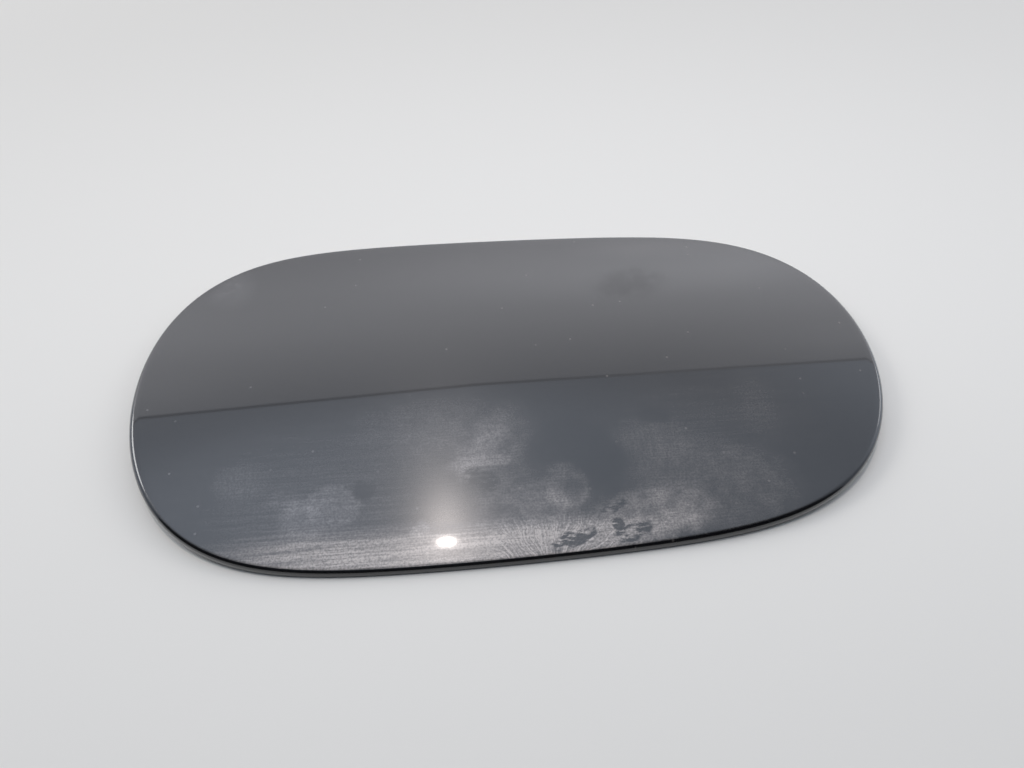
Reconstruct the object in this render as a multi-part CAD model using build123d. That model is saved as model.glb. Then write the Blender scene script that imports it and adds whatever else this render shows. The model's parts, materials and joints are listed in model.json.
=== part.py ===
from build123d import *
import math
import os

# Fuel filler flap of a car: one injection-moulded outer panel, painted on its face.
# It lies face up on its two long edges: X is its length, Y its width, Z is up from the table.

# Outline of the panel, seen from above
LENGTH = 212.0
MID_WIDTH = 120.8          # across the middle of the length
TAPER = 0.040              # share of the width lost from the middle to the narrow end, at +X
SIDE_BOW = 0.089           # share of the width lost from the middle to either end by the bowed sides
END_POWER = 5.4            # how square the ends are: 2 would be an ellipse
OUTLINE_POINTS = 32

# Skin, curved across the width like the body side it closes
WALL = 2.5
CROWN_RADIUS = 371.0
FACE_EDGE_RADIUS = 1.6
LAND_DEPTH = 0.35          # flattened off the lowest edges, so that the flap lies steady

# Screw bosses and ribs moulded on the back, as the seat of the hinge arm
SCREW_SPACING_X = 60.0
SCREW_SPACING_Y = 30.0
BOSS_DIAMETER = 6.5
PILOT_DIAMETER = 2.5
PILOT_DEPTH = 4.2
BOSS_END_HEIGHT = 0.8      # height of the boss ends above the table
RIB_THICKNESS = 1.5
RIB_END_HEIGHT = 1.8       # the ribs stop short of the boss ends


def half_width(x):
    """Half width of the outline at a place along the length."""
    u = x / (LENGTH / 2)
    squareness = math.sqrt(max(0.0, 1 - abs(u) ** END_POWER))
    return MID_WIDTH / 2 * (1 - TAPER * u - SIDE_BOW * u * u) * squareness


def outline_point(turn):
    """Point of the outline, for a turn of 0 to 1 around it."""
    x = LENGTH / 2 * math.cos(2 * math.pi * turn)
    side = 1 if turn < 0.5 else -1
    return (x, side * half_width(x))


stations = [LENGTH / 2 * math.cos(math.pi * i / OUTLINE_POINTS) for i in range(OUTLINE_POINTS + 1)]
WIDEST = max(half_width(x) for x in stations)
RIM_DROP = CROWN_RADIUS - math.sqrt(CROWN_RADIUS ** 2 - WIDEST ** 2)
CROWN_TOP = RIM_DROP + WALL - LAND_DEPTH
CROWN_AXIS_HEIGHT = CROWN_TOP - CROWN_RADIUS


def crowned_block(radius):
    """Solid under a skin of this radius about the lengthwise crown axis."""
    cylinder = Cylinder(radius, LENGTH * 2, rotation=(0, 90, 0))
    return Pos(0, 0, CROWN_AXIS_HEIGHT) * cylinder


def panel_skin():
    """Curved skin, cut to the outline, with its face edge rounded and its lowest edges flattened."""
    points = [outline_point(i / OUTLINE_POINTS) for i in range(OUTLINE_POINTS)]
    outline = make_face(Spline(*points, periodic=True))
    column = Pos(0, 0, -WALL) * extrude(outline, CROWN_TOP + 2 * WALL)
    skin = column & (crowned_block(CROWN_RADIUS) - crowned_block(CROWN_RADIUS - WALL))
    face = skin.faces().filter_by(GeomType.CYLINDER).sort_by(Axis.Z)[-1]
    skin = fillet(face.outer_wire().edges(), FACE_EDGE_RADIUS)
    table_side = Pos(0, 0, -WALL) * Box(LENGTH * 2, LENGTH * 2, WALL * 2)
    return skin - table_side


def screw_places():
    """Middles of the four screw bosses."""
    return [
        (x, y)
        for x in (-SCREW_SPACING_X / 2, SCREW_SPACING_X / 2)
        for y in (-SCREW_SPACING_Y / 2, SCREW_SPACING_Y / 2)
    ]


def seat_solid():
    """Bosses and ribs, from their ends up to the middle of the skin's wall."""
    boss_height = CROWN_TOP - BOSS_END_HEIGHT
    rib_height = CROWN_TOP - RIB_END_HEIGHT
    upright = (Align.CENTER, Align.CENTER, Align.MIN)
    pieces = []
    for x, y in screw_places():
        boss = Cylinder(BOSS_DIAMETER / 2, boss_height, align=upright)
        pieces.append(Pos(x, y, BOSS_END_HEIGHT) * boss)
    for y in (-SCREW_SPACING_Y / 2, SCREW_SPACING_Y / 2):
        rib = Box(SCREW_SPACING_X, RIB_THICKNESS, rib_height, align=upright)
        pieces.append(Pos(0, y, RIB_END_HEIGHT) * rib)
    for x in (-SCREW_SPACING_X / 2, SCREW_SPACING_X / 2):
        rib = Box(RIB_THICKNESS, SCREW_SPACING_Y, rib_height, align=upright)
        pieces.append(Pos(x, 0, RIB_END_HEIGHT) * rib)
    seat = Part() + pieces
    return seat & crowned_block(CROWN_RADIUS - WALL / 2)


def flap_panel():
    """The whole moulding: skin, bosses and ribs, with the pilot holes for the screws."""
    panel = panel_skin() + seat_solid()
    for x, y in screw_places():
        pilot = Cylinder(PILOT_DIAMETER / 2, PILOT_DEPTH * 2)
        panel -= Pos(x, y, BOSS_END_HEIGHT) * pilot
    return panel


os.makedirs("parts", exist_ok=True)
export_step(flap_panel(), "parts/flap_panel.step")
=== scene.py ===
import json
import math

import bmesh
import bpy
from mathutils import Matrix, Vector


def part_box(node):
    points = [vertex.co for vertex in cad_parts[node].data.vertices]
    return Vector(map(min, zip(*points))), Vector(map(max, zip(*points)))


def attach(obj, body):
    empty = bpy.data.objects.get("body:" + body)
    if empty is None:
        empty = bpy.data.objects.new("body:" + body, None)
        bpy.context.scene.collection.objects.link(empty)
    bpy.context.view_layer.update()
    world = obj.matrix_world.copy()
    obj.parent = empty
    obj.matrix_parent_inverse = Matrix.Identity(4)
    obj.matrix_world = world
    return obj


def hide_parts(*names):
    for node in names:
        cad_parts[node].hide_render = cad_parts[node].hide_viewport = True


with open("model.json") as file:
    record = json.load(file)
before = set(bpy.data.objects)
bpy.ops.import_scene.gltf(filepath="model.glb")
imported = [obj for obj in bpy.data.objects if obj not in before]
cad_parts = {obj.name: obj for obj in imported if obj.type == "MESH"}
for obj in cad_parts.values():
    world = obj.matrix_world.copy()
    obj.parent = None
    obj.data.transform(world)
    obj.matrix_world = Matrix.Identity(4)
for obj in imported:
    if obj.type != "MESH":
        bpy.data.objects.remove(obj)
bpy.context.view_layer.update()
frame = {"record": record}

# Skin of the flap: one panel, injection-moulded in plastic, curved across its width, with a rounded,
# slightly tapered outline. A ring of points is laid at each step of its section, from the middle of
# the face, over the rounded edge and down the wall, to the middle of the back.

MM = 0.001
scene = bpy.context.scene

panel_low, panel_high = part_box("flap_panel")
panel_length = panel_high.x - panel_low.x
crown_top = panel_high.z

wall = 2.5 * MM
crown_radius = 371.0 * MM
face_edge_radius = 1.6 * MM
crown_axis = crown_top - crown_radius

mid_width = 120.8 * MM
taper = 0.040
side_bow = 0.089
end_power = 5.4
ring_points = 360
spine_share = 0.42  # length of the spine that the rings close on, as a share of the panel's


def half_width(x):
    """Half width of the outline at a place along the length."""
    u = max(-1.0, min(1.0, x / (panel_length / 2)))
    squareness = math.sqrt(max(0.0, 1 - abs(u) ** end_power))
    return mid_width / 2 * (1 - taper * u - side_bow * u * u) * squareness


def outline_place(turn):
    """Point of the outline, for a turn of 0 to 1 around it."""
    x = panel_length / 2 * math.cos(2 * math.pi * turn)
    side = 1 if turn < 0.5 else -1
    return Vector((x, side * half_width(x), 0.0))


def outward(turn):
    """Direction out of the outline, from two points a quarter of a step to either side."""
    quarter_step = 1 / (4 * ring_points)
    along_rim = outline_place((turn + quarter_step) % 1.0) - outline_place((turn - quarter_step) % 1.0)
    return Vector((along_rim.y, -along_rim.x, 0.0)).normalized()


def skin_height(y, radius):
    """Height of a skin of this radius about the lengthwise crown axis."""
    return crown_axis + math.sqrt(radius ** 2 - y ** 2)


def rolled_edge(turn, share):
    """Point on the rounded face edge: share 0 is on the face, 1 on the wall."""
    side = outward(turn)
    centre = outline_place(turn) - side * face_edge_radius
    centre.z = skin_height(centre.y, crown_radius - face_edge_radius)
    up = Vector((0.0, centre.y, centre.z - crown_axis)).normalized()
    return centre + up.slerp(side, share) * face_edge_radius


def back_place(turn, inset):
    """Point on the back, so far in from the outline."""
    place = outline_place(turn) - outward(turn) * inset
    place.z = skin_height(place.y, crown_radius - wall)
    return place


def towards_spine(place, share, radius):
    """Point between the lengthwise spine of the panel and a point near its rim, on a skin."""
    spine = Vector((place.x * spine_share, 0.0, 0.0))
    inner = spine.lerp(Vector((place.x, place.y, 0.0)), share)
    inner.z = skin_height(inner.y, radius)
    return inner


face_steps = 44
edge_steps = 10
back_steps = 24
back_insets_mm = [0.4, 0.9, 1.4, 1.9, 2.4, 3.0, 4.5]
weld_distance = 0.002 * MM
painted, bare = 0, 1

turns = [i / ring_points for i in range(ring_points)]
rings = []
for step in range(face_steps):
    share = step / face_steps
    rings.append([towards_spine(rolled_edge(turn, 0), share, crown_radius) for turn in turns])
for step in range(edge_steps + 1):
    rings.append([rolled_edge(turn, step / edge_steps) for turn in turns])
rings.append([back_place(turn, 0) for turn in turns])
first_bare_ring = len(rings) - 1
for inset in back_insets_mm:
    rings.append([back_place(turn, inset * MM) for turn in turns])
back_rim = rings[-1]
for step in range(back_steps - 1, -1, -1):
    rings.append([towards_spine(p, step / back_steps, crown_radius - wall) for p in back_rim])

shell = bmesh.new()
layers = []
for ring in rings:
    layers.append([shell.verts.new((p.x, p.y, max(p.z, 0.0))) for p in ring])
for level, (below, above) in enumerate(zip(layers, layers[1:])):
    for i in range(ring_points):
        j = (i + 1) % ring_points
        strip = shell.faces.new((below[i], below[j], above[j], above[i]))
        strip.material_index = bare if level >= first_bare_ring else painted
bmesh.ops.remove_doubles(shell, verts=shell.verts, dist=weld_distance)
bmesh.ops.recalc_face_normals(shell, faces=shell.faces)


def make_object(name, shape):
    """Object of this name in the scene, from a finished shape."""
    mesh = bpy.data.meshes.new(name)
    shape.to_mesh(mesh)
    shape.free()
    made = bpy.data.objects.new(name, mesh)
    scene.collection.objects.link(made)
    return made


panel = make_object("flap_panel_skin", shell)

# Hinge seat: four screw bosses and a frame of ribs, moulded in one with the back of the panel.
# The bosses take thread-forming screws in blind pilot holes, and the ribs stop short of their ends.

screw_seat = frame["record"]["mounts"][0]
screw_spacing_x = screw_seat["dims"]["spacing_x_mm"] * MM
screw_spacing_y = screw_seat["dims"]["spacing_y_mm"] * MM
pilot_radius = screw_seat["dims"]["hole_r_mm"] * MM
boss_end = screw_seat["pos_m"][2]
boss_radius = 3.25 * MM
pilot_depth = 4.2 * MM
rib_end = 1.8 * MM
rib_thickness = 1.5 * MM
seat_bite = 0.25 * MM  # how far the bosses and ribs reach up into the wall
seat_top = skin_height(0.0, crown_radius - wall) + seat_bite
round_steps = 48


def add_post(shape, x, y, radius, low, high):
    """Adds an upright round post."""
    made = bmesh.ops.create_cone(
        shape, cap_ends=True, segments=round_steps, radius1=radius, radius2=radius, depth=high - low)
    bmesh.ops.translate(shape, verts=made["verts"], vec=(x, y, (low + high) / 2))


def add_rib(shape, x, y, length, width):
    """Adds a rib that hangs from the back down to the rib ends."""
    made = bmesh.ops.create_cube(shape, size=1.0)
    bmesh.ops.scale(shape, verts=made["verts"], vec=(length, width, seat_top - rib_end))
    bmesh.ops.translate(shape, verts=made["verts"], vec=(x, y, (seat_top + rib_end) / 2))


def mould(body, tool_shape, operation):
    """Joins the tool to the body, or cuts it away, and leaves one clean mesh."""
    for face in tool_shape.faces:
        face.material_index = bare
    tool = make_object("mould_tool", tool_shape)
    change = body.modifiers.new("mould", "BOOLEAN")
    change.operation = operation
    change.solver = "EXACT"
    change.use_self = True
    change.object = tool
    settled = body.evaluated_get(bpy.context.evaluated_depsgraph_get())
    body.data = bpy.data.meshes.new_from_object(settled)
    body.data.name = body.name
    body.modifiers.remove(change)
    bpy.data.objects.remove(tool)


seat = bmesh.new()
pilots = bmesh.new()
for x in (-screw_spacing_x / 2, screw_spacing_x / 2):
    add_rib(seat, x, 0.0, rib_thickness, screw_spacing_y)
    for y in (-screw_spacing_y / 2, screw_spacing_y / 2):
        add_post(seat, x, y, boss_radius, boss_end, seat_top)
        add_post(pilots, x, y, pilot_radius, boss_end - pilot_depth, boss_end + pilot_depth)
for y in (-screw_spacing_y / 2, screw_spacing_y / 2):
    add_rib(seat, 0.0, y, screw_spacing_x, rib_thickness)
mould(panel, seat, "UNION")
mould(panel, pilots, "DIFFERENCE")

sharp_from = math.radians(35)
panel.data.shade_smooth()
panel.data.set_sharp_from_angle(angle=sharp_from)
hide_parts("flap_panel")
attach(panel, "root")

# Paint: gloss black under a clear coat, sprayed over the face, the edge and the wall. Wiping has
# scored it finely, and grease and dust lie on the half nearest the viewer as streaks and smudges.
# Around the lamp's glint the same pale colour is also painted in as the glint's glow: a painted highlight.


class Pattern:
    """Patterns in one node tree, worked out from a place on the surface or a direction in the room."""

    def __init__(self, tree, coordinates, scale=1.0):
        self.tree = tree
        self.coordinates = self.add("ShaderNodeTexCoord").outputs
        self.place = self.vector("SCALE", {0: self.coordinates[coordinates], "Scale": scale})

    def add(self, kind, inputs=None, **settings):
        """Adds a node; its inputs are given as values or as the sockets that drive them."""
        node = self.tree.nodes.new(kind)
        for name, value in settings.items():
            setattr(node, name, value)
        for socket, value in (inputs or {}).items():
            if isinstance(value, bpy.types.NodeSocket):
                self.drive(node.inputs[socket], value)
            else:
                node.inputs[socket].default_value = value
        return node

    def drive(self, socket, value):
        """Links a value to the socket that it drives."""
        self.tree.links.new(value, socket)

    def vector(self, operation, inputs):
        """Result of one step of reckoning with places."""
        return self.add("ShaderNodeVectorMath", inputs, operation=operation).outputs["Vector"]

    def reckon(self, operation, first, second=0.0):
        """Result of one step of reckoning with numbers."""
        return self.add("ShaderNodeMath", {0: first, 1: second}, operation=operation).outputs["Value"]

    def times(self, first, second):
        return self.reckon("MULTIPLY", first, second)

    def plus(self, first, second):
        return self.reckon("ADD", first, second)

    def fade(self, value, start, end, low=0.0, high=1.0):
        """Goes smoothly from low, where the value is at start, to high, where it is at end."""
        limits = {"Value": value, "From Min": start, "From Max": end, "To Min": low, "To Max": high}
        return self.add("ShaderNodeMapRange", limits, interpolation_type="SMOOTHSTEP").outputs["Result"]

    def axis(self, name, place=None):
        """One part of a place: its X, Y or Z."""
        return self.add("ShaderNodeSeparateXYZ", {"Vector": place or self.place}).outputs[name]

    def grain(self, swells, detail=3.0, stretch=(1, 1, 1), turn=0.0, place=None):
        """Noise with so many swells to the unit; a stretch below 1 draws it out into streaks along that
        axis, and a turn picks another run of them."""
        harshness = 0.6
        laid = self.add("ShaderNodeMapping", {
            "Vector": place or self.place, "Rotation": (0, 0, math.radians(turn)), "Scale": stretch})
        knobs = {"Vector": laid.outputs["Vector"], "Scale": swells, "Detail": detail, "Roughness": harshness}
        return self.add("ShaderNodeTexNoise", knobs).outputs["Fac"]

    def wandering(self, reach, swells, detail=5.0):
        """The place, shifted this way and that by up to about the reach."""
        noise_middle = (0.5, 0.5, 0.5)
        swirl = self.add("ShaderNodeTexNoise", {"Vector": self.place, "Scale": swells, "Detail": detail})
        centred = self.vector("SUBTRACT", {0: swirl.outputs["Color"], 1: noise_middle})
        spread = self.vector("SCALE", {0: centred, "Scale": 2 * reach})
        return self.vector("ADD", {0: self.place, 1: spread})

    def patch(self, place, middle, size, turn=0.0, soft=1.0):
        """Mask that falls from 1 inside an ellipse to 0 at its rim, over the soft share of its radius."""
        any_height = 1000.0
        laid = self.add("ShaderNodeMapping", {
            "Vector": place, "Location": (*middle, 0), "Rotation": (0, 0, math.radians(turn)),
            "Scale": (size[0] / 2, size[1] / 2, any_height)}, vector_type="TEXTURE")
        inwards = self.add(
            "ShaderNodeTexGradient", {"Vector": laid.outputs["Vector"]}, gradient_type="SPHERICAL")
        return self.fade(inwards.outputs["Fac"], 0.0, soft)

    def blend(self, share, first, second):
        """Colour that goes from the first to the second as the share goes from 0 to 1."""
        mixed = self.add("ShaderNodeMix", {"Factor": share, "A": first, "B": second}, data_type="RGBA")
        return mixed.outputs["Result"]


def new_material(name):
    """Material of this name, with its shader."""
    material = bpy.data.materials.new(name)
    material.use_nodes = True
    return material, material.node_tree.nodes["Principled BSDF"]


paint_material, lacquer = new_material("black_paint")
paint = Pattern(paint_material.node_tree, "Object", 1 / MM)
along, across = paint.axis("X"), paint.axis("Y")

# How a mark lies: two ways for its rim to wander, and six textures that thin and thicken it
loose = paint.wandering(reach=2.2, swells=0.12)
ragged = paint.wandering(reach=2.0, swells=0.35)
even = paint.plus(0.0, 1.0)
cloud = paint.fade(paint.grain(0.22, detail=9.0), 0.30, 0.68, low=0.55, high=1.35)
flecks = paint.fade(paint.grain(0.9, detail=7.0), 0.34, 0.66, low=0.6, high=1.35)
streaks_along = paint.grain(1.3, detail=4.0, stretch=(0.03, 1, 1), turn=1.5)
wiped_along = paint.fade(streaks_along, 0.30, 0.70, low=0.55, high=1.4)
streaks_across = paint.grain(1.1, detail=4.0, stretch=(1, 0.06, 1))
wiped_across = paint.fade(streaks_across, 0.30, 0.70, low=0.6, high=1.4)
crackle = paint.fade(paint.grain(0.9, detail=7.0, stretch=(0.32, 1, 1)), 0.40, 0.56, low=0.0, high=1.2)

# Pale marks of grease and dust, and a few painted highlights of the lamp's glow: how each one lies,
# its middle and size in millimetres, its turn in degrees, how soft its rim is, and how strong it is
pale_marks_and_painted_glow = [
    ("haze on the left", loose, wiped_along, (-52, -36), (120, 66), 0, 1.0, 0.035),
    ("haze low on the left", loose, wiped_along, (-52, -46), (66, 36), 0, 0.9, 0.066),
    ("round spot", loose, wiped_across, (-73, -34.5), (18, 16), 0, 0.7, 0.056),
    ("outer thumb smudge", loose, cloud, (-57, -45.5), (13, 17), 20, 0.6, 0.120),
    ("inner thumb smudge", ragged, flecks, (-48.5, -43), (15, 13), -25, 0.25, 0.095),
    ("touch beside it", ragged, flecks, (-63, -40), (8, 8), 0, 0.7, 0.035),
    # painted highlight: the lamp's glow rising over its glint, laid on as pale colour over a little haze
    ("plume under the dividing line", loose, cloud, (-21, -23), (64, 36), 0, 1.0, 0.066),
    ("column", loose, wiped_across, (-19.8, -45), (10, 26), 0, 1.0, 0.015),
    ("around the finger strokes", loose, cloud, (-6, -28), (31, 33), -15, 0.9, 0.085),
    ("upper finger stroke", loose, flecks, (-10.5, -28.5), (27, 11), 42, 0.9, 0.105),
    ("long finger stroke", ragged, wiped_along, (-12, -33.5), (21, 7), 6, 0.8, 0.17),
    ("hook of the stroke", ragged, even, (-4.5, -33), (4, 7), 0, 0.5, 0.070),
    ("edge of the dark touch", ragged, flecks, (-15.5, -36.5), (5, 7), 20, 0.5, 0.110),
    # painted highlights: a small bright sparkle and a warm streak of the lamp's glow beside its glint
    ("sparkle", ragged, flecks, (-27, -51), (7, 6), 0, 0.6, 0.26),
    ("streak beside the glint", ragged, flecks, (-2, -54), (26, 6), 3, 0.7, 0.12),
    ("smear under the finger strokes", loose, cloud, (0, -47.5), (50, 28), 0, 0.9, 0.145),
    ("haze around the oval print", loose, cloud, (7, -41), (24, 24), 0, 0.9, 0.045),
    ("oval print", ragged, flecks, (10.5, -42), (13, 16), 12, 0.4, 0.17),
    ("mist", loose, wiped_across, (35, -30), (30, 18), 0, 0.8, 0.060),
    ("broad patch", loose, cloud, (48.5, -43.5), (54, 31), -8, 0.5, 0.072),
    ("dusty patch", ragged, cloud, (32, -50.5), (38, 17), 5, 0.5, 0.180),
    ("drift of dust at the rim", ragged, flecks, (24, -55), (54, 10), 4, 0.6, 0.20),
    ("drip on the right", loose, wiped_across, (66, -22), (16, 36), 0, 1.0, 0.020),
    ("haze on the right", loose, wiped_along, (54, -22), (80, 44), 0, 0.8, 0.026),
    ("wipe at the back", loose, wiped_across, (-10, 46), (110, 36), 0, 1.0, 0.018),
    ("wipe at the back, on the right", loose, wiped_across, (46, 50), (56, 16), -4, 1.0, 0.035),
    ("smudge at the back", loose, cloud, (-85, 40), (18, 26), 0, 0.8, 0.050),
]

# Places where the marks were rubbed away again, listed in the same way
rubbed_marks = [
    ("dark touch beside the thumb", ragged, even, (-41, -39), (8, 7), 0, 0.5, 0.6),
    ("dark touch under the strokes", ragged, crackle, (-11, -38.5), (13, 8), -20, 0.5, 0.8),
    ("middle of the oval print", ragged, flecks, (12.2, -43), (7, 9), 0, 0.5, 0.5),
    ("wiped oval", loose, even, (14, -33), (30, 27), 0, 0.3, 0.55),
    ("lens", loose, wiped_along, (37, -22.5), (13, 7), 0, 0.6, 0.5),
    ("first bare flake", ragged, crackle, (11, -56), (16, 5), 12, 0.4, 0.9),
    ("second bare flake", ragged, crackle, (26, -55.4), (13, 5), 14, 0.4, 0.9),
    ("third bare flake", ragged, crackle, (22, -48.5), (9, 3.5), 20, 0.4, 0.8),
    ("speck of bare paint", ragged, crackle, (22.5, -53), (4, 4), 0, 0.4, 0.9),
]

thin_dust = 0.013
dust_and_painted_glow = paint.plus(0.0, thin_dust)
for name, place, lie, middle, size, turn, soft, strength in pale_marks_and_painted_glow:
    mask = paint.patch(place, middle, size, turn, soft)
    mask.node.label = name
    dust_and_painted_glow = paint.plus(dust_and_painted_glow, paint.times(paint.times(mask, lie), strength))

# Band along the near edge, a painted highlight: pale colour stands in for the lamp's light spread along
# the edge by the wiping, with streaks on the left, and on the right of the lamp's glint a fan of hair
# scratches that spreads from beyond the edge
fan_root_x, fan_root_y = 4.0, -67.0
hairs_in_a_radian = 34.0
hair_drift = 0.06
fan_x = paint.plus(paint.axis("X", loose), -fan_root_x)
fan_y = paint.plus(paint.axis("Y", loose), -fan_root_y)
fan_turn = paint.times(paint.reckon("ARCTAN2", fan_x, fan_y), hairs_in_a_radian)
fan_place = paint.add("ShaderNodeCombineXYZ", {"X": fan_turn, "Y": paint.times(fan_y, hair_drift)})
hairs = paint.grain(1.0, place=fan_place.outputs["Vector"])
brushed = paint.fade(hairs, 0.44, 0.72, low=0.62, high=1.85)
glint_left, glint_right = -14, -3
highlight_band_lie = paint.plus(
    paint.times(wiped_along, paint.fade(along, glint_right, glint_left)),
    paint.times(brushed, paint.fade(along, glint_left, glint_right)))
highlight_band_ends = paint.times(paint.fade(along, -88, -42), paint.fade(along, 36, 6))
painted_highlight_band = paint.times(paint.fade(across, -48.0, -54.5), highlight_band_ends)
highlight_band_strength = 0.59
# painted highlight: the band adds pale colour where the lamp's light spreads along the near edge
dust_and_painted_glow = paint.plus(dust_and_painted_glow, paint.times(paint.times(painted_highlight_band, highlight_band_lie), highlight_band_strength))

least_left = 0.1
for name, place, lie, middle, size, turn, soft, strength in rubbed_marks:
    mask = paint.patch(place, middle, size, turn, soft)
    mask.node.label = name
    left_over = paint.plus(paint.times(paint.times(mask, lie), -strength), 1.0)
    dust_and_painted_glow = paint.times(dust_and_painted_glow, paint.reckon("MAXIMUM", left_over, least_left))

# The film, with its painted glow, ends where the face turns over its edge, and the scored lacquer breaks it
# up finely
upright = paint.axis("Z", paint.coordinates["Normal"])
dust_and_painted_glow = paint.times(dust_and_painted_glow, paint.fade(upright, 0.84, 0.93))
scores = paint.grain(2.6, detail=3.0, stretch=(0.05, 1, 1), turn=1.5)
scored = paint.fade(scores, 0.3, 0.7, low=0.8, high=1.2)
speckle = paint.fade(paint.grain(2.0, detail=5.0), 0.32, 0.68, low=0.6, high=1.45)
dust_and_painted_glow = paint.times(dust_and_painted_glow, paint.times(scored, speckle))

# Loose specks of dust, a few on every palm's breadth of the face
specks_to_the_mm = 0.11
speck_strength = 0.16
speck_cells = paint.add(
    "ShaderNodeTexVoronoi", {"Vector": paint.place, "Scale": specks_to_the_mm}, voronoi_dimensions="2D")
speck_chance = paint.axis("X", speck_cells.outputs["Color"])
specks = paint.times(
    paint.fade(speck_cells.outputs["Distance"], 0.050, 0.025), paint.fade(speck_chance, 0.70, 1.0))
dust_and_painted_glow = paint.plus(dust_and_painted_glow, paint.times(specks, speck_strength))

black = (0.004, 0.004, 0.005, 1)
# pale tones of the grease and dust, which also colour the painted glow around the lamp's glint; warmer to
# the right and along the near edge
grease_and_glow = (0.49, 0.47, 0.47, 1)
dust_and_glow = (0.52, 0.465, 0.425, 1)
dust_and_glow_warmth = paint.reckon("MAXIMUM", paint.fade(along, -60, 30), paint.fade(across, -46, -54))
pale = paint.blend(dust_and_glow_warmth, grease_and_glow, dust_and_glow)
paint.drive(lacquer.inputs["Base Color"], paint.blend(dust_and_painted_glow, black, pale))
paint.drive(lacquer.inputs["Roughness"], paint.fade(dust_and_painted_glow, 0.0, 0.40, low=0.235, high=0.27))

# The fine scores run along the flap, so they draw the lamp's glow out across it
across_the_scores = paint.add("ShaderNodeCombineXYZ", {"Y": 1.0})
paint.drive(lacquer.inputs["Tangent"], across_the_scores.outputs["Vector"])
lacquer.inputs["Anisotropic"].default_value = 0.8

# The clear coat is whole, but for a greasy spot on the far half that dulls it
greasy = paint.times(paint.patch(loose, (40, 31), (38, 24), turn=10), cloud)
paint.drive(lacquer.inputs["Coat Weight"], paint.fade(greasy, 0.0, 1.0, low=1.0, high=0.70))
lacquer.inputs["Coat Roughness"].default_value = 0.03

# Bare back: the moulding's own dark grey plastic, as it left the tool, with a fine satin grain. A
# little paint has drifted over its rim.

back_material, plastic = new_material("bare_back")
moulded = Pattern(back_material.node_tree, "Object", 1 / MM)
dark_plastic = (0.026, 0.026, 0.028, 1)
light_plastic = (0.036, 0.036, 0.038, 1)
drifted_paint = (0.008, 0.008, 0.009, 1)
satin_depth = 0.02 * MM


def rim_share(axis, reach, steepness):
    """Rises from 0 in the middle of the back to 1 at the reach, most of it close to the rim."""
    out = moulded.reckon("ABSOLUTE", moulded.times(moulded.axis(axis), 1 / reach))
    return moulded.reckon("POWER", out, steepness)


flow = moulded.fade(moulded.grain(0.06, detail=4.0, stretch=(0.5, 1, 1)), 0.3, 0.7)
plastic_tone = moulded.blend(flow, dark_plastic, light_plastic)
near_rim = moulded.plus(
    rim_share("Y", reach=60.0, steepness=6.0), rim_share("X", reach=106.0, steepness=8.0))
spray = moulded.times(
    moulded.fade(near_rim, 0.55, 1.0), moulded.fade(moulded.grain(1.8, detail=3.0), 0.42, 0.60))
shine = moulded.plus(spray, moulded.times(flow, -0.2))
satin = moulded.add("ShaderNodeBump", {"Height": moulded.grain(4.0, detail=2.0), "Distance": satin_depth})
moulded.drive(plastic.inputs["Base Color"], moulded.blend(spray, plastic_tone, drifted_paint))
moulded.drive(plastic.inputs["Roughness"], moulded.fade(shine, -0.2, 1.0, low=0.58, high=0.34))
moulded.drive(plastic.inputs["Normal"], satin.outputs["Normal"])

panel.data.materials.clear()
panel.data.materials.append(paint_material)
panel.data.materials.append(back_material)

# Floor: a plain pale table top of matt board that keeps the flap's shadow. A pool of light is painted
# into its colour, so it is palest around the flap and falls off a little towards its far sides.

floor_size = 6.0
table = bmesh.new()
bmesh.ops.create_grid(table, x_segments=1, y_segments=1, size=floor_size / 2)
floor = make_object("floor", table)
table_material, table_top = new_material("pale_table")
surface = Pattern(table_material.node_tree, "Object", 1 / MM)
far_tone = (0.675, 0.654, 0.606, 1)
near_tone = (0.83, 0.804, 0.747, 1)
# painted light: a pool of light painted into the table's colour around the flap
painted_light_pool = surface.patch(surface.place, middle=(40, 35), size=(900, 520))
surface.drive(table_top.inputs["Base Color"], surface.blend(painted_light_pool, far_tone, near_tone))
table_top.inputs["Roughness"].default_value = 0.7
floor.data.materials.append(table_material)

# Glowing board: two leaves of board that stand behind the flap, joined in the middle. They glow with
# their own light, which lights the flap and shows in its lacquer. The dark strip along their top draws
# the dividing line across the lacquer, and the left leaf rises outwards.

board_distance = 0.80
board_half_width = 1.3
fold_rise = 53.15
left_rise = 57.0


def board_height(rise):
    """Height of the board's top edge, seen from the flap at this many degrees."""
    return board_distance * math.tan(math.radians(rise))


fold_height = board_height(fold_rise)
left_height = board_height(left_rise)
leaves = bmesh.new()
feet_and_tops = [(-board_half_width, left_height), (0.0, fold_height), (board_half_width, fold_height)]
posts = [
    (leaves.verts.new((x, board_distance, 0.0)), leaves.verts.new((x, board_distance, top)))
    for x, top in feet_and_tops
]
for one, other in zip(posts, posts[1:]):
    leaves.faces.new((one[0], other[0], other[1], one[1]))
white_board = make_object("white_board", leaves)
board_material, board_face = new_material("white_board")
white_board.data.materials.append(board_material)
# the board's colour is all emitted light: black under a glow
board_face.inputs["Base Color"].default_value = (0, 0, 0, 1)
board_face.inputs["Specular IOR Level"].default_value = 0.0

lit = Pattern(board_material.node_tree, "Object")
sideways = lit.axis("X")
slope = (left_height - fold_height) / board_half_width
left_of_fold = lit.reckon("MAXIMUM", lit.times(sideways, -1.0), 0.0)
share_up = lit.reckon("DIVIDE", lit.axis("Z"), lit.plus(lit.times(left_of_fold, slope), fold_height))

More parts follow.
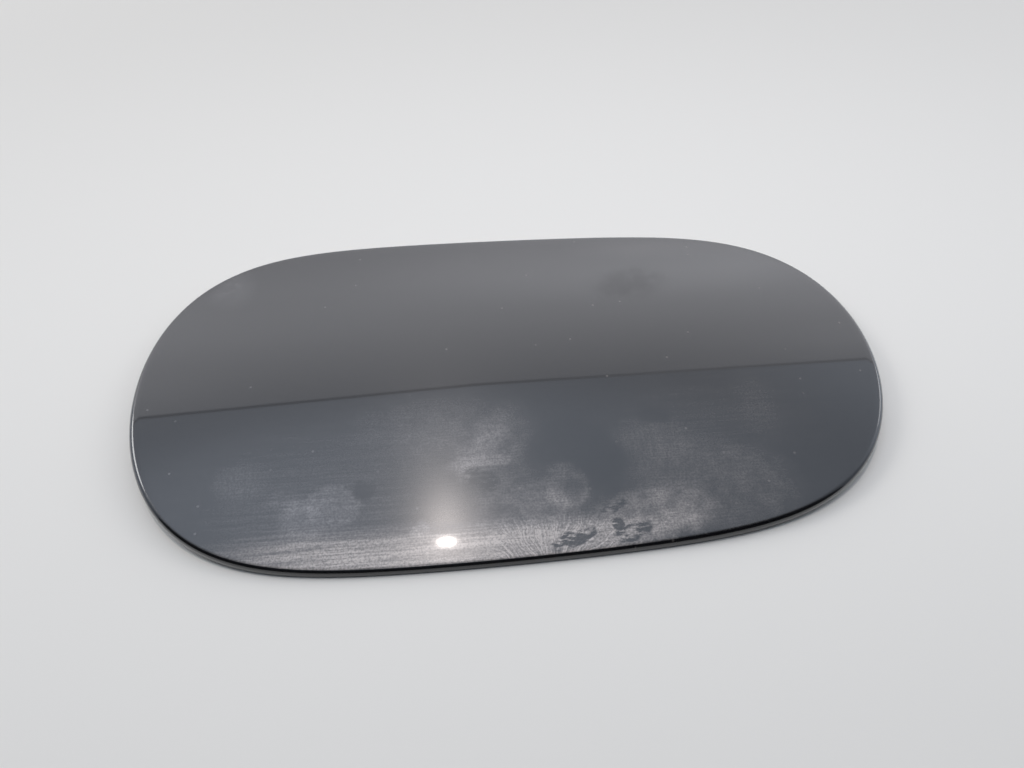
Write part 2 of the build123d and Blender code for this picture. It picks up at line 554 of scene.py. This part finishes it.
# Share of the board's height and how bright it is there, up to the dark strip
board_levels = [
    (0.0, 0.55), (0.30, 0.64), (0.37, 0.82), (0.43, 0.96), (0.5, 1.01),
    (0.62, 0.98), (0.76, 0.84), (0.90, 0.70), (0.98, 0.62), (0.984, 0.06),
]
board_tint = (0.97, 0.98, 1.04)
ramp = lit.add("ShaderNodeValToRGB", {"Fac": share_up})
ramp.color_ramp.elements.remove(ramp.color_ramp.elements[1])
for number, (share, level) in enumerate(board_levels):
    stop = ramp.color_ramp.elements.new(share) if number else ramp.color_ramp.elements[0]
    stop.position = share
    stop.color = (*(level * part for part in board_tint), 1)

# What the board gains or loses on top of that from side to side
low_part = lit.fade(share_up, 0.60, 0.44)
side_change = lit.times(low_part, lit.fade(sideways, -0.38, 0.30, low=-0.10, high=0.24))
right_end_change = lit.times(low_part, lit.fade(sideways, 0.38, 0.55, high=-0.18))
outer_change = lit.times(
    lit.fade(lit.reckon("ABSOLUTE", sideways), 0.30, 0.75), lit.fade(share_up, 0.66, 0.86, high=0.22))
strip_change = lit.times(lit.fade(share_up, 0.982, 0.986), lit.fade(sideways, -0.10, 0.40, high=4.0))
evenness = 1.0
for change in (side_change, right_end_change, outer_change, strip_change):
    evenness = lit.plus(evenness, change)
board_strength = 1.45
lit.drive(board_face.inputs["Emission Color"], ramp.outputs["Color"])
lit.drive(board_face.inputs["Emission Strength"], lit.times(evenness, board_strength))

# Black curtain: matt cloth hung around the viewer's side of the table, out of the picture. Its
# reflection darkens the near edge of the flap, and its hem rises towards the right.

curtain_distance = 0.9
curtain_steps = 24
curtain_from, curtain_to = -100, -245
curtain_low_end, curtain_high_end = 38, 66
cloth = bmesh.new()
hems = []
for step in range(curtain_steps + 1):
    share = step / curtain_steps
    turn = math.radians(curtain_from + (curtain_to - curtain_from) * share)
    rise = math.tan(math.radians(curtain_low_end + (curtain_high_end - curtain_low_end) * share))
    foot = Vector((math.sin(turn), math.cos(turn), 0.0)) * curtain_distance
    hems.append([cloth.verts.new(foot), cloth.verts.new(foot + Vector((0, 0, rise * curtain_distance)))])
for one, other in zip(hems, hems[1:]):
    cloth.faces.new((one[0], other[0], other[1], one[1]))
curtain = make_object("black_curtain", cloth)
curtain.visible_camera = False
curtain_material, curtain_face = new_material("black_curtain")
curtain_face.inputs["Base Color"].default_value = (0.004, 0.004, 0.004, 1)
curtain_face.inputs["Specular IOR Level"].default_value = 0.0
curtain.data.materials.append(curtain_material)

# Light: a bluish room, brightest overhead and darker to the right and behind the viewer, one small
# warm lamp high over the table, and a window on either side. The room's tones go by the direction
# that one looks in, as its parts along the three axes.

world = bpy.data.worlds.new("studio")
scene.world = world
world.use_nodes = True
background = world.node_tree.nodes["Background"]
room = Pattern(world.node_tree, "Generated")
rightwards, away, upwards = room.axis("X"), room.axis("Y"), room.axis("Z")
overhead = room.fade(upwards, 0.76, 0.88, low=0.80, high=1.40)
right_side = room.fade(rightwards, -0.05, 0.55, low=1.04, high=0.67)
high_left = room.times(room.fade(rightwards, 0.0, -0.35), room.fade(upwards, 0.79, 0.90, high=0.16))
low_right = room.times(room.fade(rightwards, 0.25, 0.50), room.fade(upwards, 0.86, 0.74, high=0.58))
viewer_side = room.fade(away, 0.15, -0.20, low=1.0, high=0.45)
walls = room.plus(room.times(overhead, right_side), room.plus(low_right, high_left))
background.inputs["Color"].default_value = (0.79, 0.875, 1.02, 1)
room.drive(background.inputs["Strength"], room.times(walls, viewer_side))


def hang_lamp(name, target, way, distance, size, watts, colour=(1.0, 1.0, 1.0)):
    """Round lamp that shines on the target from so far away along the way."""
    data = bpy.data.lights.new(name, "AREA")
    data.shape = "DISK"
    data.size = size
    data.energy = watts
    data.color = colour
    made = bpy.data.objects.new(name, data)
    scene.collection.objects.link(made)
    made.location = target + way * distance
    made.rotation_euler = way.to_track_quat("Z", "Y").to_euler()


table_middle = Vector((0.0, 0.0, 0.0))
lamp_glint = Vector((-20.5, -54.3, 3.15)) * MM
lamp_way = Vector((-8.1, 39.7, 189.1)).normalized()
left_way = Vector((-0.714, 0.333, 0.616))
right_way = Vector((0.786, 0.318, 0.530))
hang_lamp("lamp", lamp_glint, lamp_way, distance=1.8, size=0.020, watts=4.6, colour=(1.0, 0.90, 0.85))
hang_lamp("left_window", table_middle, left_way, distance=1.3, size=0.45, watts=3.0)
hang_lamp("right_window", table_middle, right_way, distance=1.2, size=0.35, watts=0.8)

# Camera: the photograph's own viewpoint, close to the flap and a little to its left. The focal
# length is the photograph's, in its own pixels.

picture_width_px = 1024
focal_length_px = 769
sensor_width = 36.0
nearest_seen = 10 * MM
camera_place = Vector((-12.4, -147.0, 172.6)) * MM
camera_tilt, camera_turn = math.radians(40.0), math.radians(-4.94)
camera_data = bpy.data.cameras.new("camera")
camera_data.sensor_width = sensor_width
camera_data.lens = sensor_width * focal_length_px / picture_width_px
camera_data.clip_start = nearest_seen
camera = bpy.data.objects.new("camera", camera_data)
camera.location = camera_place
camera.rotation_euler = (camera_tilt, 0.0, camera_turn)
scene.collection.objects.link(camera)
scene.camera = camera
scene.view_settings.view_transform = "Standard"
